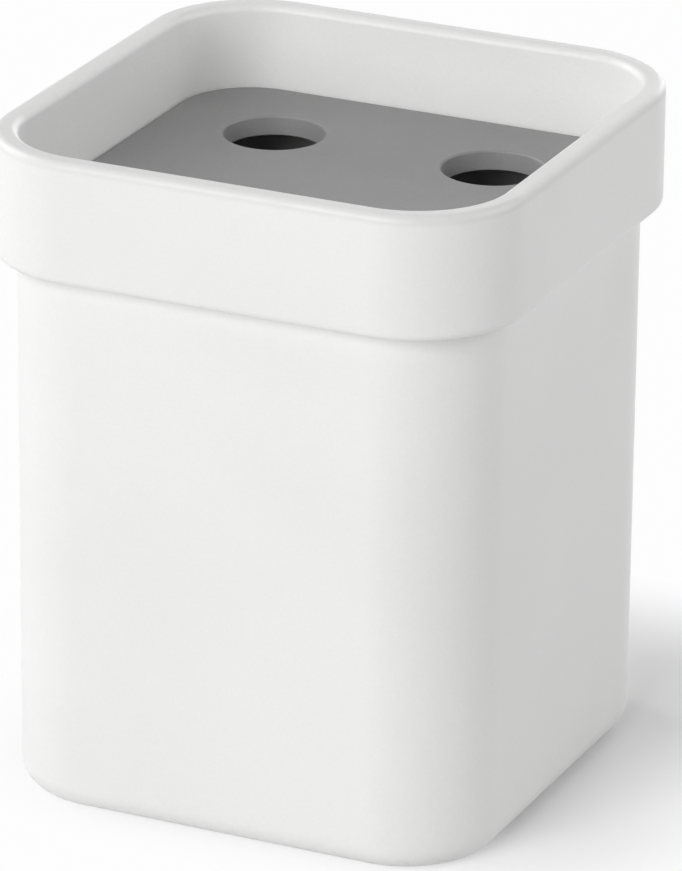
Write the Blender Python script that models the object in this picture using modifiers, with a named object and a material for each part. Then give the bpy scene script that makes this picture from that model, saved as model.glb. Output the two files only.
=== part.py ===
"""Toothbrush holder: a rounded-square cup with a stepped collar, and an insert that lifts out of it.

Metres, +Z up. The origin is on the centre line, on the surface that the cup stands on.
"""
import math

import bmesh
import bpy

# Cup, outside
COLLAR_WIDTH = 0.080            # across the flats
COLLAR_CORNER = 0.0165          # radius of the corners seen from above
COLLAR_HEIGHT = 0.0184          # from the shoulder's underside to the rim
COLLAR_OVERHANG = 0.0029        # the collar stands out this far from the body, on each side
SHOULDER_ROUND = 0.0013
CUP_HEIGHT = 0.100
BODY_CORNER = 0.0146
BODY_LEAN = 0.00015             # the body narrows this much on each side, from the shoulder to the base
BASE_ROUND = 0.0040

# Cup, rim and mouth
RIM_WALL = 0.0034
RIM_OUTER_ROUND = 0.0012
RIM_INNER_ROUND = 0.0013
MOUTH_CORNER = 0.0134
MOUTH_LEAN = 0.0010             # the mouth narrows this much on each side, from the rim to the ledge

# Cup, ledge under the insert, and bore below it
LEDGE_CORNER = 0.0111
LEDGE_THICKNESS = 0.0026        # above the shoulder's underside
LEDGE_WIDTH = 0.0013
LEDGE_ROUND = 0.0005
BORE_LEAN = 0.0003              # the bore narrows this much on each side, from the ledge to the floor
FLOOR_THICKNESS = 0.0028
FLOOR_ROUND = 0.004

# Cup, underside
FOOT_WIDTH = 0.0035             # flat ring that the cup stands on
FOOT_RECESS = 0.001
GATE_RADIUS = 0.003             # dimple that the moulding gate leaves
GATE_DEPTH = 0.0004

# Insert
PLATE_THICKNESS = 0.0029
PLATE_EDGE_ROUND = 0.0004
SKIRT_DEPTH = 0.006
SKIRT_WALL = 0.0016
SKIRT_ROUND = 0.0004
HOLE_PITCH = 0.0347             # between the centres of the holes, along both flats
HOLE_RADIUS = 0.00705           # at the underside of the plate
HOLE_LEAN = 0.0003              # the holes widen this much in radius, up to the top of the plate
HOLE_UPPER_ROUND = 0.0006
HOLE_LOWER_ROUND = 0.0002

# Clearances of the insert in the cup
SEAT_GAP = 0.0003
EDGE_GAP = 0.0003
SKIRT_GAP = 0.0003

# Facets
CORNER_STEPS = 10
ROUND_STEPS = 5
SMALL_ROUND_STEPS = 3
HOLE_STEPS = 32
SMOOTH_ANGLE = math.radians(35)

# Limits that keep a changed size sound
CUT_MARGIN = 0.002              # cutters run this far past the surface that they open
SMALLEST_CORNER = 0.0005

# Places worked out from the sizes above
COLLAR_HALF = COLLAR_WIDTH / 2
BODY_HALF = COLLAR_HALF - COLLAR_OVERHANG
SHOULDER_Z = CUP_HEIGHT - COLLAR_HEIGHT
MOUTH_HALF = COLLAR_HALF - RIM_WALL
LEDGE_HALF = MOUTH_HALF - MOUTH_LEAN
LEDGE_Z = SHOULDER_Z + LEDGE_THICKNESS
BORE_HALF = LEDGE_HALF - LEDGE_WIDTH
BODY_WALL = BODY_HALF - BORE_HALF
BORE_CORNER = BODY_CORNER - BODY_WALL
FLOOR_Z = FOOT_RECESS + FLOOR_THICKNESS
INSERT_Z = LEDGE_Z + SEAT_GAP


def clear_scene():
    for obj in list(bpy.data.objects):
        bpy.data.objects.remove(obj)


def new_collection(name):
    collection = bpy.data.collections.new(name)
    bpy.context.scene.collection.children.link(collection)
    return collection


def plastic(name, colour, roughness):
    material = bpy.data.materials.new(name)
    material.use_nodes = True
    shader = material.node_tree.nodes["Principled BSDF"]
    shader.inputs["Base Color"].default_value = (*colour, 1.0)
    shader.inputs["Roughness"].default_value = roughness
    shader.inputs["Metallic"].default_value = 0.0
    return material


def arc(inset, height, radius, start, end, steps):
    """Points (inset, height) on an arc round a centre. Angles in degrees, 0 towards the centre line."""
    angles = [math.radians(start + (end - start) * step / steps) for step in range(steps + 1)]
    return [(inset + radius * math.cos(a), height + radius * math.sin(a)) for a in angles]


def drawn_in(half, corner, profile):
    """Sections (half width, corner radius, height) that follow a profile, drawn in from one outline."""
    return [(half - inset, max(corner - inset, SMALLEST_CORNER), height) for inset, height in profile]


def rounded_square(half, corner, height):
    """Points of one section, anticlockwise seen from above."""
    points = []
    for quarter, (side_x, side_y) in enumerate(((1, 1), (-1, 1), (-1, -1), (1, -1))):
        for step in range(CORNER_STEPS + 1):
            angle = (quarter + step / CORNER_STEPS) * math.pi / 2
            x = side_x * (half - corner) + corner * math.cos(angle)
            y = side_y * (half - corner) + corner * math.sin(angle)
            points.append((x, y, height))
    return points


def loft(name, sections, material, collection):
    """One closed body through a run of rounded squares that starts underneath and ends on top."""
    bm = bmesh.new()
    rings = [[bm.verts.new(point) for point in rounded_square(*section)] for section in sections]
    for ring, following in zip(rings, rings[1:]):
        for index, vertex in enumerate(ring):
            neighbour = (index + 1) % len(ring)
            bm.faces.new((vertex, ring[neighbour], following[neighbour], following[index]))
    bm.faces.new(list(reversed(rings[0])))
    bm.faces.new(rings[-1])
    return mesh_object(name, bm, material, collection)


def mesh_object(name, bm, material, collection):
    mesh = bpy.data.meshes.new(name)
    bm.to_mesh(mesh)
    bm.free()
    mesh.shade_smooth()
    mesh.set_sharp_from_angle(angle=SMOOTH_ANGLE)
    obj = bpy.data.objects.new(name, mesh)
    if material is not None:
        mesh.materials.append(material)
    collection.objects.link(obj)
    return obj


def cut_away(target, cutter):
    """Takes the cutter's shape out of the target, and hides the cutter."""
    cutter.hide_render = True
    cutter.display_type = 'WIRE'
    boolean = target.modifiers.new(cutter.name, 'BOOLEAN')
    boolean.operation = 'DIFFERENCE'
    boolean.solver = 'EXACT'
    boolean.object = cutter


def bore_half_at(height):
    """Half width of the bore, which narrows evenly from the ledge down to the floor."""
    return BORE_HALF - BORE_LEAN * (LEDGE_Z - height) / (LEDGE_Z - FLOOR_Z)


def cup_sections():
    """The shell's wall, from the recess under the base, up the outside, over the rim and down inside."""
    shoulder = min(SHOULDER_ROUND, COLLAR_OVERHANG)
    foot_edge = BASE_ROUND + FOOT_WIDTH
    base = [(foot_edge + FOOT_RECESS, FOOT_RECESS), (foot_edge, 0.0)]
    base += arc(BASE_ROUND, BASE_ROUND, BASE_ROUND, 270, 180, ROUND_STEPS)
    collar = arc(shoulder, SHOULDER_Z + shoulder, shoulder, 270, 180, ROUND_STEPS)
    collar += arc(RIM_OUTER_ROUND, CUP_HEIGHT - RIM_OUTER_ROUND, RIM_OUTER_ROUND, 180, 90, SMALL_ROUND_STEPS)
    mouth = arc(-RIM_INNER_ROUND, CUP_HEIGHT - RIM_INNER_ROUND, RIM_INNER_ROUND, 90, 0, SMALL_ROUND_STEPS)
    ledge = arc(-LEDGE_ROUND, LEDGE_Z - LEDGE_ROUND, LEDGE_ROUND, 90, 0, SMALL_ROUND_STEPS)
    floor = arc(FLOOR_ROUND, FLOOR_Z + FLOOR_ROUND, FLOOR_ROUND, 180, 270, ROUND_STEPS)
    sections = drawn_in(BODY_HALF - BODY_LEAN, BODY_CORNER - BODY_LEAN, base)
    sections += [(BODY_HALF, BODY_CORNER, SHOULDER_Z)]
    sections += drawn_in(COLLAR_HALF, COLLAR_CORNER, collar)
    sections += drawn_in(MOUTH_HALF, MOUTH_CORNER, mouth)
    sections += [(LEDGE_HALF, LEDGE_CORNER, LEDGE_Z)]
    sections += drawn_in(BORE_HALF, BORE_CORNER, ledge)
    sections += drawn_in(BORE_HALF - BORE_LEAN, BORE_CORNER - BORE_LEAN, floor)
    return sections


def make_cup(collection, cutters):
    white = plastic("white_plastic", (0.82, 0.82, 0.815), 0.45)
    cup = loft("cup", cup_sections(), white, collection)
    bm = bmesh.new()
    depth = CUT_MARGIN + GATE_DEPTH
    bmesh.ops.create_cone(bm, cap_ends=True, segments=HOLE_STEPS, radius1=GATE_RADIUS,
                          radius2=GATE_RADIUS, depth=depth)
    gate = mesh_object("gate_dimple", bm, None, cutters)
    gate.location.z = FOOT_RECESS + GATE_DEPTH - depth / 2
    cut_away(cup, gate)
    return cup


def insert_sections():
    """The plate and its skirt, from the plate's underside, round the skirt and up to the plate's top."""
    skirt_half = bore_half_at(INSERT_Z - SKIRT_DEPTH) - SKIRT_GAP
    skirt_corner = skirt_half - (BORE_HALF - BORE_CORNER)
    plate_half = LEDGE_HALF - EDGE_GAP
    plate_corner = LEDGE_CORNER - EDGE_GAP
    skirt = [(SKIRT_WALL, 0.0), (SKIRT_WALL, -SKIRT_DEPTH)]
    skirt += arc(SKIRT_ROUND, SKIRT_ROUND - SKIRT_DEPTH, SKIRT_ROUND, 270, 180, SMALL_ROUND_STEPS)
    skirt += [(0.0, 0.0)]
    plate = [(0.0, 0.0)]
    plate += arc(PLATE_EDGE_ROUND, PLATE_THICKNESS - PLATE_EDGE_ROUND, PLATE_EDGE_ROUND,
                 180, 90, SMALL_ROUND_STEPS)
    return drawn_in(skirt_half, skirt_corner, skirt) + drawn_in(plate_half, plate_corner, plate)


def hole_profile():
    """Radius and height down the side of one hole, with its rounded upper and lower edges."""
    upper = min(HOLE_UPPER_ROUND, PLATE_THICKNESS - HOLE_LOWER_ROUND)
    widest = HOLE_RADIUS + HOLE_LEAN + upper
    profile = [(0.0, PLATE_THICKNESS + CUT_MARGIN), (widest, PLATE_THICKNESS + CUT_MARGIN)]
    for step in range(SMALL_ROUND_STEPS + 1):
        angle = math.pi / 2 * (1 + step / SMALL_ROUND_STEPS)
        profile.append((widest + upper * math.cos(angle), PLATE_THICKNESS - upper + upper * math.sin(angle)))
    profile += [(HOLE_RADIUS, HOLE_LOWER_ROUND), (HOLE_RADIUS + HOLE_LOWER_ROUND, 0.0)]
    profile += [(HOLE_RADIUS + HOLE_LOWER_ROUND, -CUT_MARGIN), (0.0, -CUT_MARGIN)]
    return profile


def hole_cutter(name, cutters):
    """A turned body, made by a Screw from the profile of one hole."""
    bm = bmesh.new()
    chain = [bm.verts.new((radius, 0.0, height)) for radius, height in hole_profile()]
    for above, below in zip(chain, chain[1:]):
        bm.edges.new((above, below))
    cutter = mesh_object(name, bm, None, cutters)
    screw = cutter.modifiers.new("turn", 'SCREW')
    screw.axis = 'Z'
    screw.angle = math.tau
    screw.steps = HOLE_STEPS
    screw.render_steps = HOLE_STEPS
    screw.use_merge_vertices = True
    screw.merge_threshold = 0.00001
    return cutter


def make_insert(collection, cutters):
    grey = plastic("grey_plastic", (0.285, 0.285, 0.285), 0.5)
    insert = loft("insert", insert_sections(), grey, collection)
    insert.location.z = INSERT_Z
    for side, x in (("left", -HOLE_PITCH / 2), ("right", HOLE_PITCH / 2)):
        for end, y in (("front", -HOLE_PITCH / 2), ("back", HOLE_PITCH / 2)):
            cutter = hole_cutter(f"brush_hole_{side}_{end}", cutters)
            cutter.parent = insert
            cutter.location = (x, y, 0.0)
            cut_away(insert, cutter)
    return insert


def main():
    clear_scene()
    holder = new_collection("toothbrush_holder")
    cutters = new_collection("cutters")
    make_cup(holder, cutters)
    make_insert(holder, cutters)


main()
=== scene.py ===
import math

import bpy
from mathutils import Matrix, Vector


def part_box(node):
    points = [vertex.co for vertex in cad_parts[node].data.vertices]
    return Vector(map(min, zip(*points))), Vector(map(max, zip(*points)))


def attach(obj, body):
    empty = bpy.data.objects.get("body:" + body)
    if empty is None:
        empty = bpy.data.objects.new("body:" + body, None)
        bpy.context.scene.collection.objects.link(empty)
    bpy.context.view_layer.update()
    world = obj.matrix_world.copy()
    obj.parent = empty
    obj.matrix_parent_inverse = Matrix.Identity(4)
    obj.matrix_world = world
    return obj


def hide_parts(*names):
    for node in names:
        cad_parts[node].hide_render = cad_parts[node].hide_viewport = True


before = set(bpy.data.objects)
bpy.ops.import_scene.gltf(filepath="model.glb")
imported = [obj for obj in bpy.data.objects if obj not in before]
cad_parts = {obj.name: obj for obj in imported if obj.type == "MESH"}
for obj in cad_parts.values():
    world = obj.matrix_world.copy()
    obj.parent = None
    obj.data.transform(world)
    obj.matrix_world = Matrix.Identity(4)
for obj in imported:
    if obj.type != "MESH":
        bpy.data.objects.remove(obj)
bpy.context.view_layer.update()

# Toothbrush holder: the finished surfaces of its two mouldings, the studio and the camera.
# Metres, +Z up, in the frame's own coordinates. Both mouldings are rounded squares seen from
# above, so each is drawn as one profile that starts and ends at its middle, and swept round.

CUP_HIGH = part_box("cup")[1]
INSERT_LOW, INSERT_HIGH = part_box("insert")

# Cup, outside
COLLAR_HALF = CUP_HIGH.x
RIM_Z = CUP_HIGH.z
COLLAR_CORNER = 0.0165
COLLAR_HEIGHT = 0.0184
COLLAR_OVERHANG = 0.0029
SHOULDER_ROUND = 0.0013
UNDERCUT_ROUND = 0.0003
BODY_CORNER = 0.0146
BODY_LEAN = 0.00015
BASE_ROUND = 0.0040

# Cup, rim, mouth, ledge and bore
RIM_WALL = 0.0034
RIM_OUTER_ROUND = 0.0012
RIM_INNER_ROUND = 0.0013
MOUTH_CORNER = 0.0134
MOUTH_LEAN = 0.0010
LEDGE_CORNER = 0.0111
LEDGE_THICKNESS = 0.0026
LEDGE_WIDTH = 0.0013
LEDGE_ROUND = 0.0005
LEDGE_NOOK_ROUND = 0.0002
BORE_LEAN = 0.0003
FLOOR_THICKNESS = 0.0028
FLOOR_ROUND = 0.004

# Cup, underside
FOOT_WIDTH = 0.0035
FOOT_RECESS = 0.001
FOOT_ROUND = 0.0003
GATE_RADIUS = 0.003
GATE_DEPTH = 0.0004
GATE_ROUND = 0.00015

# Insert. As in the photograph, its plate lies closer to the mouth's walls than the solid's, and
# its holes open a little wider at the top, with a smaller round.
PLATE_CLOSER = 0.00017
PLATE_HALF = INSERT_HIGH.x + PLATE_CLOSER
PLATE_TOP = INSERT_HIGH.z
SKIRT_BOTTOM = INSERT_LOW.z
PLATE_CORNER = 0.0110
PLATE_THICKNESS = 0.0029
PLATE_EDGE_ROUND = 0.00025
PLATE_LOWER_ROUND = 0.0002
SKIRT_WALL = 0.0016
SKIRT_ROUND = 0.0004
SKIRT_GAP = 0.0003
HOLE_PITCH = 0.0347
HOLE_RADIUS = 0.00705
HOLE_LEAN = 0.00045
HOLE_UPPER_ROUND = 0.0004
HOLE_LOWER_ROUND = 0.0002
CUT_MARGIN = 0.002

# Places worked out from the sizes above
BODY_HALF = COLLAR_HALF - COLLAR_OVERHANG
BODY_FLAT = BODY_HALF - BODY_CORNER
COLLAR_FLAT = COLLAR_HALF - COLLAR_CORNER
SHOULDER_Z = RIM_Z - COLLAR_HEIGHT
MOUTH_HALF = COLLAR_HALF - RIM_WALL
LEDGE_HALF = MOUTH_HALF - MOUTH_LEAN
LEDGE_Z = SHOULDER_Z + LEDGE_THICKNESS
BORE_HALF = LEDGE_HALF - LEDGE_WIDTH
FLOOR_Z = FOOT_RECESS + FLOOR_THICKNESS
WALL_MIDDLE_HALF = (BODY_HALF + BORE_HALF) / 2
BASE_MIDDLE_Z = FLOOR_Z - FLOOR_THICKNESS / 2
PLATE_UNDERSIDE = PLATE_TOP - PLATE_THICKNESS

# Facets of the swept surfaces, and the attributes that only the sweep needs
CORNER_STEPS = 24
ROUND_STEPS = 8
HOLE_CORNER_STEPS = 20
SHARP_ANGLE = math.radians(40)
WELD_DISTANCE = 0.000001
QUARTER_TURN = math.pi / 2
ROOT_TWO = math.sqrt(2)
GUIDE_RING_RADIUS = 0.001
SWEEP_ATTRIBUTES = ("flat", "rounding", "half", "height", "outward", "corner", "corner_point")

# Colours
PLAIN_WHITE = (1.0, 1.0, 1.0)
WHITE = (0.82, 0.82, 0.815)
# Painted light: the inside of the cup is drawn lighter than its outside
PAINTED_LIGHT_WHITE = (0.86, 0.86, 0.855)
# Painted shade: a darker band along the rim's outer round, just below the top
RIM_SHADE_WHITE = (0.74, 0.738, 0.73)
DUST = (0.66, 0.645, 0.61)
SHELF_MARK = (0.50, 0.49, 0.475)
GREY = (0.295, 0.295, 0.295)
RUBBED_GREY = (0.36, 0.36, 0.36)
LIME = (0.46, 0.465, 0.47)

# Both plastics: the moulded skin, and the sizes of the noise that breaks up the wear
GRAIN_SIZE = 0.0005
GRAIN_DEPTH = 0.00003
GRAIN_SHADE = 0.4
WAVE_SIZE = 0.024
WAVE_DEPTH = 0.00005
DRIFT_SIZE = 0.032
TONE_LEVELS = (0.35, 0.65)
MOTTLE_SIZE = 0.0035
MOTTLE_ROUGHNESS = 0.06
SCRATCH_SIZE = 0.0012
DUST_MOTTLE = 0.3

# White plastic: where each mark lies, how strong it is, and its part of the roughness
WHITE_ROUGHNESS = 0.42
WHITE_DRIFT = 0.02
WHITE_SCRATCH_LEVELS = (0.50, 0.66)
WHITE_DUST = 0.12
WHITE_DUST_ROUGHNESS = 0.12
EDGE_MARKS = 0.05
EDGE_POLISH = 0.07
SMUDGE_SIZE = 0.011
SMUDGE_LEVELS = (0.50, 0.64)
SMUDGE_POLISH = 0.07
GRIP_LOW = 0.045
GRIP_HIGH = 0.085
SCUFF_HEIGHT = 0.0026
SCUFF_MARKS = 0.22
SCUFF_ROUGHNESS = 0.12
# Painted shade along the rim's outer round: how far below the top it lies, how far it reaches and
# its weakest share
RIM_SHADE_DEPTH = 0.0009
RIM_SHADE_REACH = 0.0009
RIM_SHADE_LEAST = 0.6

# Grey plastic, in the same way
GREY_ROUGHNESS = 0.47
GREY_DRIFT = 0.045
GREY_SCRATCH_LEVELS = (0.48, 0.64)
GREY_DUST = 0.15
GREY_DUST_SHADE = 0.6
GREY_DUST_ROUGHNESS = 0.08
RUB_REACH = 0.0022
RUB_LEAST = 0.25
RUB_MARKS = 0.10
RUB_POLISH = 0.09

# Dried drops on the plate, with their radii, edges and raggedness as shares of the spacing
DROP_SPACING = 0.0085
DROP_SMALL = 0.07
DROP_LARGE = 0.34
DROP_EDGE = 0.06
DROP_RAGGED = 0.22
DRY_CELLS = 0.66
DROP_FILM = 0.3
DROP_FAINTEST = 0.3
DROP_MARKS = 0.14
DROP_ROUGHNESS = 0.08

# Camera, fitted to the photograph's edges
CAMERA_AZIMUTH = 24.63
CAMERA_ELEVATION = 21.60
CAMERA_ROLL = math.radians(0.55)
CAMERA_DISTANCE = 1.0264
CAMERA_TARGET = Vector((0.0017, 0.0, 0.0495))
SENSOR_WIDTH = 36.0
LENS = 294.1

# Studio. The floor's shadow fades out round the foot's outline, moved by the shift.
FLOOR_SIZE = 6.0
FLOOR_DROP = 0.00002
FLOOR_COLOUR = 0.85
FLOOR_SEEN = 0.935
BACKDROP = 0.985
SHADOW_SHIFT = (0.0086, 0.0182)
FADE_START = -0.0086
FADE_END = 0.0266
AMBIENT = 0.19
LAMP_DISTANCE = 1.5
LAMP_SIZE = 1.0
LAMPS = (  # name, azimuth and elevation in degrees, power in watts
    ("front", -10.0, 25.0, 15.2),
    ("left", -95.0, 25.0, 9.2),
    ("right", 118.0, 25.0, 7.6),
    ("back", 180.0, 8.0, 8.6),
)


class Wire:
    """A node's output that can stand in an expression. Each operation on it adds one Math node."""

    def __init__(self, graph, socket):
        self.graph = graph
        self.socket = socket

    def maths(self, operation, *values):
        sockets = dict(enumerate(values))
        return self.graph.add("ShaderNodeMath", {"operation": operation}, sockets)[0]

    def __add__(self, other):
        return self.maths('ADD', self, other)

    def __radd__(self, other):
        return self.maths('ADD', other, self)

    def __sub__(self, other):
        return self.maths('SUBTRACT', self, other)

    def __rsub__(self, other):
        return self.maths('SUBTRACT', other, self)

    def __mul__(self, other):
        return self.maths('MULTIPLY', self, other)

    def __rmul__(self, other):
        return self.maths('MULTIPLY', other, self)

    def __truediv__(self, other):
        return self.maths('DIVIDE', self, other)

    def __rtruediv__(self, other):
        return self.maths('DIVIDE', other, self)

    def __gt__(self, other):
        return self.maths('GREATER_THAN', self, other)

    def __lt__(self, other):
        return self.maths('LESS_THAN', self, other)

    def __neg__(self):
        return self.maths('MULTIPLY', self, -1.0)

    def __abs__(self):
        return self.maths('ABSOLUTE', self)

    def least(self, other):
        return self.maths('MINIMUM', self, other)

    def most(self, other):
        return self.maths('MAXIMUM', self, other)

    def floor(self):
        return self.maths('FLOOR', self)

    def cos(self):
        return self.maths('COSINE', self)

    def sin(self):
        return self.maths('SINE', self)


class Outputs:
    """The outputs of one node, by name or number."""

    def __init__(self, graph, node):
        self.graph = graph
        self.node = node

    def __getitem__(self, key):
        return Wire(self.graph, self.node.outputs[key])


class Graph:
    """A node tree while it is being built, for shaders and for geometry."""

    MIX_COLOUR_A = 6
    MIX_COLOUR_B = 7
    MIX_COLOUR_RESULT = 2

    def __init__(self, tree):
        self.tree = tree

    def add(self, kind, settings=None, sockets=None):
        """Adds a node. Its settings are set first, and then the values or links of its sockets."""
        node = self.tree.nodes.new(kind)
        for setting, value in (settings or {}).items():
            setattr(node, setting, value)
        for key, value in (sockets or {}).items():
            if isinstance(value, Wire):
                self.tree.links.new(value.socket, node.inputs[key])
            else:
                node.inputs[key].default_value = value
        return Outputs(self, node)

    def sum(self, first, second):
        return self.add("ShaderNodeVectorMath", {"operation": 'ADD'}, {0: first, 1: second})[0]

    def difference(self, first, second):
        return self.add("ShaderNodeVectorMath", {"operation": 'SUBTRACT'}, {0: first, 1: second})[0]

    def length(self, vector):
        return self.add("ShaderNodeVectorMath", {"operation": 'LENGTH'}, {0: vector})["Value"]

    def scaled(self, vector, scale):
        sockets = {0: vector, "Scale": scale}
        return self.add("ShaderNodeVectorMath", {"operation": 'SCALE'}, sockets)[0]

    def vector(self, x, y, z):
        return self.add("ShaderNodeCombineXYZ", None, {"X": x, "Y": y, "Z": z})[0]

    def parts(self, vector):
        outputs = self.add("ShaderNodeSeparateXYZ", None, {0: vector})
        return outputs["X"], outputs["Y"], outputs["Z"]

    def blend(self, share, first, second):
        """Colour that goes from the first to the second as share goes from 0 to 1."""
        sockets = {0: share, self.MIX_COLOUR_A: first, self.MIX_COLOUR_B: second}
        return self.add("ShaderNodeMix", {"data_type": 'RGBA'}, sockets)[self.MIX_COLOUR_RESULT]

    def noise(self, place, size, detail=2.0, roughness=0.5):
        """Soft noise about 0.5, whose blobs are about as wide as the size."""
        sockets = {"Vector": place, "Scale": 1.0 / size, "Detail": detail, "Roughness": roughness}
        return self.add("ShaderNodeTexNoise", {"noise_dimensions": '3D'}, sockets)[0]

    def ramp(self, value, low, high, to_low=0.0, to_high=1.0):
        """Smooth step from one value to another while the input goes from low to high."""
        settings = {"interpolation_type": 'SMOOTHSTEP'}
        sockets = {
            "Value": value,
            "From Min": low,
            "From Max": high,
            "To Min": to_low,
            "To Max": to_high,
        }
        return self.add("ShaderNodeMapRange", settings, sockets)["Result"]

    def from_rounded_square(self, x, y, flat, corner):
        """Distance outwards from a rounded square's outline in plan. Negative inside it."""
        beyond_x = (abs(x) - flat).most(0.0)
        beyond_y = (abs(y) - flat).most(0.0)
        return self.length(self.vector(beyond_x, beyond_y, 0.0)) - corner

    def named(self, name, kind='FLOAT'):
        """An attribute of the geometry, by its name."""
        settings = {"data_type": kind}
        return self.add("GeometryNodeInputNamedAttribute", settings, {"Name": name})["Attribute"]

    def store(self, geometry, name, value, kind='FLOAT'):
        """The geometry with the value kept on its points under the name."""
        settings = {"data_type": kind, "domain": 'POINT'}
        sockets = {"Geometry": geometry, "Name": name, "Value": value}
        return self.add("GeometryNodeStoreNamedAttribute", settings, sockets)["Geometry"]

    def welded(self, geometry):
        """The geometry with points merged that lie in the same place."""
        sockets = {"Geometry": geometry, "Distance": WELD_DISTANCE}
        return self.add("GeometryNodeMergeByDistance", None, sockets)[0]


def new_object(name, data):
    """An object at the origin, in the scene."""
    thing = bpy.data.objects.new(name, data)
    bpy.context.scene.collection.objects.link(thing)
    return thing


def geometry_group(name, inputs):
    """An empty geometry tree with the given inputs and one geometry output."""
    tree = bpy.data.node_groups.new(name, 'GeometryNodeTree')
    for label, kind in inputs:
        tree.interface.new_socket(name=label, in_out='INPUT', socket_type=kind)
    tree.interface.new_socket(name="Geometry", in_out='OUTPUT', socket_type='NodeSocketGeometry')
    graph = Graph(tree)
    return graph, graph.add("NodeGroupInput")


def filleted_profile(graph, chain, round_steps):
    """The chain of a profile's points as a curve with its fillets.

    Wear is full at the middle of a fillet and fades to its ends. In a square corner these are
    ROOT_TWO - 1 of the radius and one whole radius away from the point of the corner.
    """
    position = graph.add("GeometryNodeInputPosition")[0]
    profile = graph.store(chain, "corner_point", position, 'FLOAT_VECTOR')
    profile = graph.add("GeometryNodeMeshToCurve", None, {"Mesh": profile})[0]
    rounding = graph.named("rounding")
    profile = graph.add("GeometryNodeFilletCurve", {"mode": 'POLY'}, {
        "Curve": profile,
        "Count": round_steps,
        "Radius": rounding,
        "Limit Radius": True,
    })[0]
    reach = graph.length(graph.difference(position, graph.named("corner_point", 'FLOAT_VECTOR')))
    nearness = graph.ramp(reach / rounding.most(WELD_DISTANCE), ROOT_TWO - 1, 1.0, 1.0, 0.0)
    rounded = rounding > WELD_DISTANCE
    profile = graph.store(profile, "wear", graph.named("wear") * nearness * rounded)
    half, _, height = graph.parts(position)
    profile = graph.store(profile, "half", half)
    return graph.store(profile, "height", height)


def guide_ring(graph, steps):
    """A ring of four quarter turns with both ends of each.

    Each point keeps the way out and the corner that it turns about. The sweep's points are
    placed by these two alone, so the ring's own radius doesn't matter.
    """
    index = graph.add("GeometryNodeInputIndex")[0]
    quarter = (index / (steps + 1)).floor()
    step = index - quarter * (steps + 1)
    angle = (quarter + step / steps) * QUARTER_TURN
    diagonal = (quarter + 0.5) * QUARTER_TURN
    ring = graph.add("GeometryNodeCurvePrimitiveCircle", {"mode": 'RADIUS'}, {
        "Resolution": (steps + 1) * 4,
        "Radius": GUIDE_RING_RADIUS,
    })["Curve"]
    outward = graph.vector(angle.cos(), angle.sin(), 0.0)
    ring = graph.store(ring, "outward", outward, 'FLOAT_VECTOR')
    corner = graph.vector(diagonal.cos() * ROOT_TWO, diagonal.sin() * ROOT_TWO, 0.0)
    return graph.store(ring, "corner", corner, 'FLOAT_VECTOR')


def rounded_square_loft():
    """Group that sweeps a rounded square along a profile.

    The profile is a chain of points: X is half the square's width across the flats, and Z its
    height. Each point's attribute "flat" is half of the square's straight side, "rounding" the
    radius of the fillet there, and "wear" 1 on an exposed edge and -1 in a nook.
    """
    graph, given = geometry_group("rounded_square_loft", [
        ("Profile", 'NodeSocketGeometry'),
        ("Corner Steps", 'NodeSocketInt'),
        ("Round Steps", 'NodeSocketInt'),
    ])
    profile = filleted_profile(graph, given["Profile"], given["Round Steps"])
    ring = guide_ring(graph, given["Corner Steps"])
    swept = graph.add("GeometryNodeCurveToMesh", None, {"Curve": profile, "Profile Curve": ring})[0]
    half = graph.named("half")
    flat = graph.named("flat").least(half)
    across = graph.sum(
        graph.scaled(graph.named("corner", 'FLOAT_VECTOR'), flat),
        graph.scaled(graph.named("outward", 'FLOAT_VECTOR'), half - flat),
    )
    place = graph.sum(across, graph.vector(0.0, 0.0, graph.named("height")))
    swept = graph.add("GeometryNodeSetPosition", None, {"Geometry": swept, "Position": place})[0]
    graph.add("NodeGroupOutput", None, {"Geometry": graph.welded(swept)})
    return graph.tree


def lofted(graph, loft, profile, corner_steps, round_steps):
    """A profile swept by the loft group."""
    return graph.add("GeometryNodeGroup", {"node_tree": loft}, {
        "Profile": profile,
        "Corner Steps": corner_steps,
        "Round Steps": round_steps,
    })[0]


def smooth_with_material(graph, geometry, material):
    """Shades the faces smooth and leaves sharp edges sharp, then ends the tree."""
    geometry = graph.add("GeometryNodeSetShadeSmooth", {"domain": 'FACE'}, {
        "Geometry": geometry,
    })[0]
    turn = graph.add("GeometryNodeInputMeshEdgeAngle")["Unsigned Angle"]
    geometry = graph.add("GeometryNodeSetShadeSmooth", {"domain": 'EDGE'}, {
        "Geometry": geometry,
        "Selection": turn > SHARP_ANGLE,
        "Shade Smooth": False,
    })[0]
    geometry = graph.add("GeometryNodeRealizeInstances", None, {"Geometry": geometry})[0]
    sockets = {"Geometry": geometry, "Material": material}
    geometry = graph.add("GeometryNodeSetMaterial", None, sockets)[0]
    graph.add("NodeGroupOutput", None, {"Geometry": geometry})


def cup_group(loft):
    graph, given = geometry_group("cup_moulding", [
        ("Profile", 'NodeSocketGeometry'),
        ("Corner Steps", 'NodeSocketInt'),
        ("Round Steps", 'NodeSocketInt'),
        ("Plastic", 'NodeSocketMaterial'),
    ])
    shell = lofted(graph, loft, given["Profile"], given["Corner Steps"], given["Round Steps"])
    smooth_with_material(graph, shell, given["Plastic"])
    return graph.tree


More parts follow.
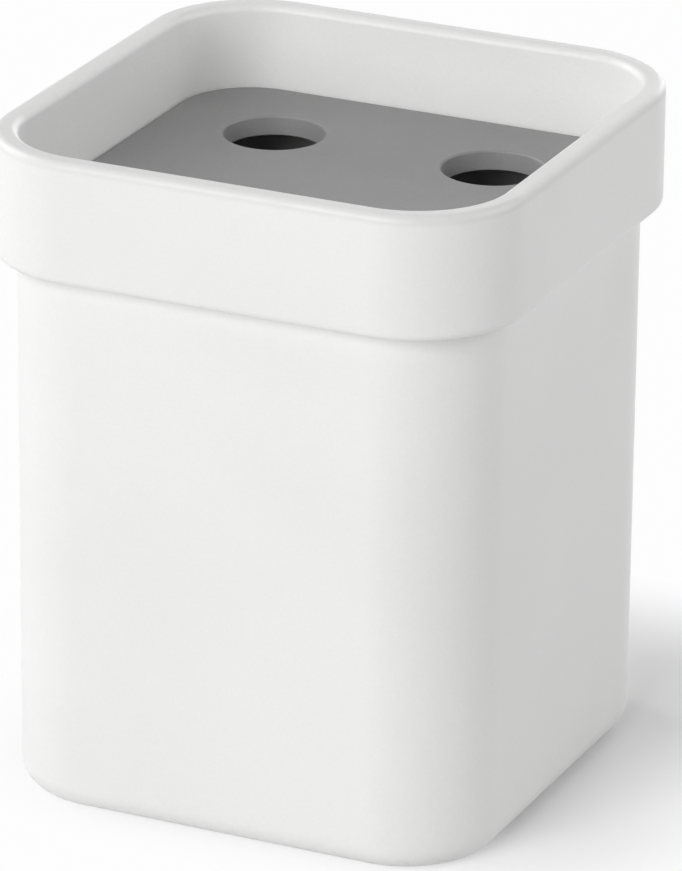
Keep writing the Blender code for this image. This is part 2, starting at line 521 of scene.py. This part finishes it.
def insert_group(loft):
    graph, given = geometry_group("insert_moulding", [
        ("Profile", 'NodeSocketGeometry'),
        ("Hole Profile", 'NodeSocketObject'),
        ("Hole Pitch", 'NodeSocketFloat'),
        ("Corner Steps", 'NodeSocketInt'),
        ("Hole Corner Steps", 'NodeSocketInt'),
        ("Round Steps", 'NodeSocketInt'),
        ("Plastic", 'NodeSocketMaterial'),
    ])
    plate = lofted(graph, loft, given["Profile"], given["Corner Steps"], given["Round Steps"])
    guide = graph.add("GeometryNodeObjectInfo", None, {"Object": given["Hole Profile"]})["Geometry"]
    cutter = lofted(graph, loft, guide, given["Hole Corner Steps"], given["Round Steps"])
    centres = graph.add("GeometryNodeMeshGrid", None, {
        "Size X": given["Hole Pitch"],
        "Size Y": given["Hole Pitch"],
        "Vertices X": 2,
        "Vertices Y": 2,
    })["Mesh"]
    sockets = {"Points": centres, "Instance": cutter}
    cutters = graph.add("GeometryNodeInstanceOnPoints", None, sockets)[0]
    cutters = graph.add("GeometryNodeRealizeInstances", None, {"Geometry": cutters})[0]
    pierced = graph.add("GeometryNodeMeshBoolean", {"operation": 'DIFFERENCE', "solver": 'EXACT'}, {
        "Mesh 1": plate,
        "Mesh 2": cutters,
    })[0]
    smooth_with_material(graph, graph.welded(pierced), given["Plastic"])
    return graph.tree


def profile_guide(name, points):
    """A chain of a profile's points, each (half, height, flat, rounding, wear)."""
    mesh = bpy.data.meshes.new(name)
    edges = [(first, first + 1) for first in range(len(points) - 1)]
    mesh.from_pydata([(point[0], 0.0, point[1]) for point in points], edges, [])
    for column, attribute in ((2, "flat"), (3, "rounding"), (4, "wear")):
        values = mesh.attributes.new(attribute, 'FLOAT', 'POINT')
        values.data.foreach_set("value", [point[column] for point in points])
    return new_object(name, mesh)


def moulded(name, guide, group, sizes):
    """The piece that a tree makes from a profile: a plain mesh with even normals on its flats."""
    modifier = guide.modifiers.new("moulding", 'NODES')
    modifier.node_group = group
    for item in group.interface.items_tree:
        if item.in_out == 'INPUT' and item.name in sizes:
            modifier[item.identifier] = sizes[item.name]
    flats = guide.modifiers.new("even_flats", 'WEIGHTED_NORMAL')
    flats.mode = 'FACE_AREA'
    flats.keep_sharp = True
    bpy.context.view_layer.update()
    depsgraph = bpy.context.evaluated_depsgraph_get()
    mesh = bpy.data.meshes.new_from_object(
        guide.evaluated_get(depsgraph), preserve_all_data_layers=True, depsgraph=depsgraph)
    mesh.name = name
    for attribute in SWEEP_ATTRIBUTES:
        if attribute in mesh.attributes:
            mesh.attributes.remove(mesh.attributes[attribute])
    bpy.data.objects.remove(guide)
    return new_object(name, mesh)


def cup_profile():
    """From the underside's middle, up the outside, over the rim and down inside to the floor."""
    foot_half = BODY_HALF - BODY_LEAN - BASE_ROUND
    return [
        (0.0, FOOT_RECESS + GATE_DEPTH, 0.0, 0.0, 0.0),
        (GATE_RADIUS, FOOT_RECESS + GATE_DEPTH, 0.0, GATE_ROUND, 0.0),
        (GATE_RADIUS, FOOT_RECESS, 0.0, GATE_ROUND, 0.0),
        (foot_half - FOOT_WIDTH - FOOT_RECESS, FOOT_RECESS, BODY_FLAT, FOOT_ROUND, -1.0),
        (foot_half - FOOT_WIDTH, 0.0, BODY_FLAT, FOOT_ROUND, 1.0),
        (BODY_HALF - BODY_LEAN, 0.0, BODY_FLAT, BASE_ROUND, 1.0),
        (BODY_HALF, SHOULDER_Z, BODY_FLAT, UNDERCUT_ROUND, -1.0),
        (COLLAR_HALF, SHOULDER_Z, COLLAR_FLAT, SHOULDER_ROUND, 0.6),
        (COLLAR_HALF, RIM_Z, COLLAR_FLAT, RIM_OUTER_ROUND, 1.0),
        (MOUTH_HALF, RIM_Z, MOUTH_HALF - MOUTH_CORNER, RIM_INNER_ROUND, 1.0),
        (LEDGE_HALF, LEDGE_Z, LEDGE_HALF - LEDGE_CORNER, LEDGE_NOOK_ROUND, -1.0),
        (BORE_HALF, LEDGE_Z, BODY_FLAT, LEDGE_ROUND, 0.5),
        (BORE_HALF - BORE_LEAN, FLOOR_Z, BODY_FLAT, FLOOR_ROUND, -1.0),
        (0.0, FLOOR_Z, 0.0, 0.0, 0.0),
    ]


def insert_profile():
    """From the middle of the plate's underside, round the skirt and up to the middle of its top."""
    depth_share = (LEDGE_Z - SKIRT_BOTTOM) / (LEDGE_Z - FLOOR_Z)
    skirt_half = BORE_HALF - BORE_LEAN * depth_share - SKIRT_GAP
    plate_flat = PLATE_HALF - PLATE_CORNER
    return [
        (0.0, PLATE_UNDERSIDE, 0.0, 0.0, 0.0),
        (skirt_half - SKIRT_WALL, PLATE_UNDERSIDE, BODY_FLAT, SKIRT_ROUND, -1.0),
        (skirt_half - SKIRT_WALL, SKIRT_BOTTOM, BODY_FLAT, PLATE_LOWER_ROUND, 1.0),
        (skirt_half, SKIRT_BOTTOM, BODY_FLAT, SKIRT_ROUND, 1.0),
        (skirt_half, PLATE_UNDERSIDE, BODY_FLAT, 0.0, 0.0),
        (PLATE_HALF, PLATE_UNDERSIDE, plate_flat, PLATE_LOWER_ROUND, 1.0),
        (PLATE_HALF, PLATE_TOP, plate_flat, PLATE_EDGE_ROUND, 1.0),
        (0.0, PLATE_TOP, 0.0, 0.0, 0.0),
    ]


def hole_profile():
    """From below the plate to above it, so that the cutter is closed and faces outwards."""
    lower_half = HOLE_RADIUS + HOLE_LOWER_ROUND
    upper_half = HOLE_RADIUS + HOLE_LEAN + HOLE_UPPER_ROUND
    return [
        (0.0, PLATE_UNDERSIDE - CUT_MARGIN, 0.0, 0.0, 0.0),
        (lower_half, PLATE_UNDERSIDE - CUT_MARGIN, 0.0, 0.0, 0.0),
        (lower_half, PLATE_UNDERSIDE, 0.0, 0.0, 0.0),
        (HOLE_RADIUS, PLATE_UNDERSIDE, 0.0, HOLE_LOWER_ROUND, 0.5),
        (HOLE_RADIUS + HOLE_LEAN, PLATE_TOP, 0.0, HOLE_UPPER_ROUND, 1.0),
        (upper_half, PLATE_TOP, 0.0, 0.0, 0.0),
        (upper_half, PLATE_TOP + CUT_MARGIN, 0.0, 0.0, 0.0),
        (0.0, PLATE_TOP + CUT_MARGIN, 0.0, 0.0, 0.0),
    ]


def make_cup(loft, plastic):
    guide = profile_guide("cup_profile", cup_profile())
    sizes = {"Corner Steps": CORNER_STEPS, "Round Steps": ROUND_STEPS, "Plastic": plastic}
    return moulded("cup_shell", guide, cup_group(loft), sizes)


def make_insert(loft, plastic):
    guide = profile_guide("insert_profile", insert_profile())
    hole = profile_guide("brush_hole_profile", hole_profile())
    sizes = {
        "Hole Profile": hole,
        "Hole Pitch": HOLE_PITCH,
        "Corner Steps": CORNER_STEPS,
        "Hole Corner Steps": HOLE_CORNER_STEPS,
        "Round Steps": ROUND_STEPS,
        "Plastic": plastic,
    }
    insert = moulded("lift_out_insert", guide, insert_group(loft), sizes)
    bpy.data.objects.remove(hole)
    return insert


def new_material(name):
    material = bpy.data.materials.new(name)
    material.use_nodes = True
    material.node_tree.nodes.clear()
    return material, Graph(material.node_tree)


def tinted(colour, share=1.0):
    """A colour with each part multiplied by the share, and opaque."""
    return (*(part * share for part in colour), 1.0)


def drifting(graph, tone, colour, drift):
    """A colour that goes from darker to lighter by the drift as the tone goes from 0 to 1."""
    return graph.blend(tone, tinted(colour, 1.0 - drift), tinted(colour, 1.0 + drift))


def surface(graph):
    """The place on the piece, and how far that place is an exposed edge and how far a nook."""
    place = graph.add("ShaderNodeTexCoord")["Object"]
    wear = graph.add("ShaderNodeAttribute", {"attribute_name": "wear"})["Fac"]
    return place, wear.most(0.0), (-wear).most(0.0)


def moulded_skin(graph, place):
    """Skin of an eroded mould: its tone from 0 to 1, and its normal, fine grain on slow waves."""
    grain = graph.noise(place, GRAIN_SIZE, detail=3.0, roughness=0.6)
    drift = graph.ramp(graph.noise(place, DRIFT_SIZE), *TONE_LEVELS)
    tone = (1.0 - GRAIN_SHADE) * drift + GRAIN_SHADE * graph.ramp(grain, *TONE_LEVELS)
    relief = grain * GRAIN_DEPTH + graph.noise(place, WAVE_SIZE, detail=1.0) * WAVE_DEPTH
    sockets = {"Strength": 1.0, "Distance": 1.0, "Height": relief}
    return tone, graph.add("ShaderNodeBump", None, sockets)[0]


def mottle_and_scratches(graph, place, scratch_levels):
    """Noise in patches a few millimetres wide, and fine marks with clear skin between them."""
    mottle = graph.noise(place, MOTTLE_SIZE, detail=3.0)
    fine = graph.noise(place, SCRATCH_SIZE, detail=4.0, roughness=0.65)
    return mottle, graph.ramp(fine, *scratch_levels)


def finished(graph, colour, roughness, normal):
    """Ends a plastic's tree."""
    shader = graph.add("ShaderNodeBsdfPrincipled", None, {
        "Base Color": colour,
        "Roughness": roughness,
        "Normal": normal,
    })
    graph.add("ShaderNodeOutputMaterial", None, {"Surface": shader[0]})


def rim_shade_and_inside_light(graph, place):
    """Masks: painted shade along the rim's outer edge, just below the top, and painted light inside
    the cup; each 1 there, else 0.
    """
    x, y, height = graph.parts(place)
    inwards = -graph.from_rounded_square(x, y, COLLAR_FLAT, COLLAR_CORNER)
    off_middle = abs(height - (RIM_Z - RIM_SHADE_DEPTH))
    rim = graph.ramp(off_middle, 0.0, RIM_SHADE_REACH, 1.0, 0.0) * (inwards < RIM_OUTER_ROUND)
    mouth = graph.ramp(inwards, RIM_WALL - RIM_INNER_ROUND, RIM_WALL) * (height > SHOULDER_Z)
    chamber = (inwards > COLLAR_HALF - WALL_MIDDLE_HALF) * (height > BASE_MIDDLE_Z)
    return rim, mouth.most(chamber)


def satin_white_plastic():
    """Cup: painted light inside, dusty in its nooks, painted shade along the rim's outer edge, a
    grip polished by handling and a marked foot.
    """
    material, graph = new_material("satin_white_plastic")
    place, edge, nook = surface(graph)
    height = graph.parts(place)[2]
    tone, normal = moulded_skin(graph, place)
    mottle, scratches = mottle_and_scratches(graph, place, WHITE_SCRATCH_LEVELS)
    blotches = graph.noise(place, SMUDGE_SIZE, detail=4.0, roughness=0.6)
    smudge = graph.ramp(height, GRIP_LOW, GRIP_HIGH) * graph.ramp(blotches, *SMUDGE_LEVELS)
    scuff = graph.ramp(height, 0.0, SCUFF_HEIGHT, 1.0, 0.0) * scratches
    rim, inside = rim_shade_and_inside_light(graph, place)
    # painted shade along the rim's outer round, broken up by the mottle
    rim_shade = rim * (RIM_SHADE_LEAST + (1.0 - RIM_SHADE_LEAST) * mottle)
    dusty = nook * (WHITE_DUST + DUST_MOTTLE * mottle)
    marked = edge * scratches * EDGE_MARKS + scuff * SCUFF_MARKS

    colour = drifting(graph, tone, WHITE, WHITE_DRIFT)
    # painted light: the cup's inside is drawn lighter than its outside
    colour = graph.blend(inside, colour, drifting(graph, tone, PAINTED_LIGHT_WHITE, WHITE_DRIFT))
    colour = graph.blend(dusty, colour, tinted(DUST))
    # painted shade: the rim's outer round drawn darker
    colour = graph.blend(rim_shade, colour, tinted(RIM_SHADE_WHITE))
    colour = graph.blend(marked, colour, tinted(SHELF_MARK))
    roughness = (
        WHITE_ROUGHNESS
        + MOTTLE_ROUGHNESS * mottle
        - EDGE_POLISH * edge
        + WHITE_DUST_ROUGHNESS * nook
        - SMUDGE_POLISH * smudge
        + SCUFF_ROUGHNESS * scuff
    )
    finished(graph, colour, roughness, normal)
    return material


def dried_drops(graph, place):
    """Rims of dried water drops, on some of the cells that the plate's top is divided into."""
    x, y, height = graph.parts(place)
    cells = graph.add("ShaderNodeTexVoronoi", {"voronoi_dimensions": '2D', "feature": 'F1'}, {
        "Vector": graph.vector(x, y, 0.0),
        "Scale": 1.0 / DROP_SPACING,
    })
    chance, spread, strength = graph.parts(cells["Color"])
    radius = DROP_SMALL + (DROP_LARGE - DROP_SMALL) * spread * spread
    ragged = DROP_RAGGED * (graph.noise(place, MOTTLE_SIZE, detail=3.0) - 0.5)
    from_rim = cells["Distance"] + ragged - radius
    rim = graph.ramp(abs(from_rim), 0.0, DROP_EDGE, 1.0, 0.0)
    film = graph.ramp(from_rim, 0.0, DROP_EDGE, DROP_FILM, 0.0)
    visible = DROP_FAINTEST + (1.0 - DROP_FAINTEST) * strength
    on_top = height > PLATE_TOP - PLATE_EDGE_ROUND / 2
    return rim.most(film) * (chance > DRY_CELLS) * visible * on_top


def matte_grey_plastic():
    """Insert: faint dried drops on its plate, and hole edges that handles have rubbed."""
    material, graph = new_material("matte_grey_plastic")
    place, edge, nook = surface(graph)
    x, y, _ = graph.parts(place)
    tone, normal = moulded_skin(graph, place)
    mottle, scratches = mottle_and_scratches(graph, place, GREY_SCRATCH_LEVELS)
    from_hole = graph.length(graph.vector(abs(x) - HOLE_PITCH / 2, abs(y) - HOLE_PITCH / 2, 0.0))
    near_hole = graph.ramp(from_hole, HOLE_RADIUS, HOLE_RADIUS + RUB_REACH, 1.0, 0.0)
    rubbed = near_hole.most(edge) * (RUB_LEAST + (1.0 - RUB_LEAST) * scratches)
    dusty = nook * (GREY_DUST + DUST_MOTTLE * mottle)
    drops = dried_drops(graph, place)

    colour = drifting(graph, tone, GREY, GREY_DRIFT)
    colour = graph.blend(dusty, colour, tinted(DUST, GREY_DUST_SHADE))
    colour = graph.blend(rubbed * RUB_MARKS, colour, tinted(RUBBED_GREY))
    colour = graph.blend(drops * DROP_MARKS, colour, tinted(LIME))
    roughness = (
        GREY_ROUGHNESS
        + MOTTLE_ROUGHNESS * mottle
        - RUB_POLISH * rubbed
        + GREY_DUST_ROUGHNESS * nook
        + DROP_ROUGHNESS * drops
    )
    finished(graph, colour, roughness, normal)
    return material


def seen_directly(graph):
    """1 on rays from the camera and on those that a mirror or glass passes on, otherwise 0."""
    rays = graph.add("ShaderNodeLightPath")
    return rays["Is Camera Ray"].most(rays["Is Glossy Ray"]).most(rays["Is Transmission Ray"])


def make_floor():
    """A pale floor that keeps its shadow behind the foot and on its right, and fades to white."""
    mesh = bpy.data.meshes.new("floor")
    half = FLOOR_SIZE / 2
    corners = [(-half, -half), (half, -half), (half, half), (-half, half)]
    mesh.from_pydata([(x, y, -FLOOR_DROP) for x, y in corners], [], [(0, 1, 2, 3)])
    floor = new_object("floor", mesh)
    material, graph = new_material("studio_floor")
    direct = seen_directly(graph)
    x, y, _ = graph.parts(graph.add("ShaderNodeTexCoord")["Object"])
    shift_x, shift_y = SHADOW_SHIFT
    from_shadow = graph.from_rounded_square(x - shift_x, y - shift_y, BODY_FLAT, BODY_CORNER)
    colour = graph.blend(direct, tinted(PLAIN_WHITE, FLOOR_COLOUR), tinted(PLAIN_WHITE, FLOOR_SEEN))
    diffuse = graph.add("ShaderNodeBsdfDiffuse", None, {"Color": colour})[0]
    sockets = {"Color": tinted(PLAIN_WHITE), "Strength": BACKDROP}
    backdrop = graph.add("ShaderNodeEmission", None, sockets)[0]
    fade = direct * graph.ramp(from_shadow, FADE_START, FADE_END)
    shader = graph.add("ShaderNodeMixShader", None, {0: fade, 1: diffuse, 2: backdrop})
    graph.add("ShaderNodeOutputMaterial", None, {"Surface": shader[0]})
    mesh.materials.append(material)


def make_world():
    """Even light from all round, which the camera and reflections see as white."""
    world = bpy.data.worlds.new("studio")
    world.use_nodes = True
    world.node_tree.nodes.clear()
    graph = Graph(world.node_tree)
    strength = AMBIENT + (1.0 - AMBIENT) * seen_directly(graph)
    sockets = {"Color": tinted(PLAIN_WHITE), "Strength": strength}
    background = graph.add("ShaderNodeBackground", None, sockets)
    graph.add("ShaderNodeOutputWorld", None, {"Surface": background[0]})
    bpy.context.scene.world = world


def direction(azimuth, elevation):
    """The way from the holder outwards, from degrees. Azimuth 0 is in front and 90 on the right."""
    a, e = math.radians(azimuth), math.radians(elevation)
    return Vector((math.sin(a) * math.cos(e), -math.cos(a) * math.cos(e), math.sin(e)))


def softbox(name, azimuth, elevation, power):
    """A square lamp that faces the holder."""
    towards = direction(azimuth, elevation)
    data = bpy.data.lights.new(name, 'AREA')
    data.shape = 'SQUARE'
    data.size = LAMP_SIZE
    data.energy = power
    lamp = new_object(name, data)
    lamp.location = CAMERA_TARGET + towards * LAMP_DISTANCE
    lamp.rotation_mode = 'QUATERNION'
    lamp.rotation_quaternion = (-towards).to_track_quat('-Z', 'Y')


def make_camera():
    """The photograph's camera: round the holder, above it, and rolled a little."""
    back = direction(CAMERA_AZIMUTH, CAMERA_ELEVATION)
    level_right = (-back).cross(Vector((0.0, 0.0, 1.0))).normalized()
    level_up = level_right.cross(-back)
    right = level_right * math.cos(CAMERA_ROLL) + level_up * math.sin(CAMERA_ROLL)
    up = level_up * math.cos(CAMERA_ROLL) - level_right * math.sin(CAMERA_ROLL)
    data = bpy.data.cameras.new("camera")
    data.sensor_width = SENSOR_WIDTH
    data.lens = LENS
    camera = new_object("camera", data)
    turn = Matrix((right, up, back)).transposed().to_4x4()
    camera.matrix_world = Matrix.Translation(CAMERA_TARGET + back * CAMERA_DISTANCE) @ turn
    bpy.context.scene.camera = camera
    bpy.context.scene.view_settings.view_transform = 'Standard'


def dress(piece, node):
    """The piece stands for the node, whose own mesh is hidden, and moves with its body."""
    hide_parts(node)
    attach(piece, node)


make_camera()
make_world()
make_floor()
for lamp_name, lamp_azimuth, lamp_elevation, lamp_power in LAMPS:
    softbox(lamp_name, lamp_azimuth, lamp_elevation, lamp_power)

loft_tree = rounded_square_loft()
dress(make_cup(loft_tree, satin_white_plastic()), "cup")
dress(make_insert(loft_tree, matte_grey_plastic()), "insert")
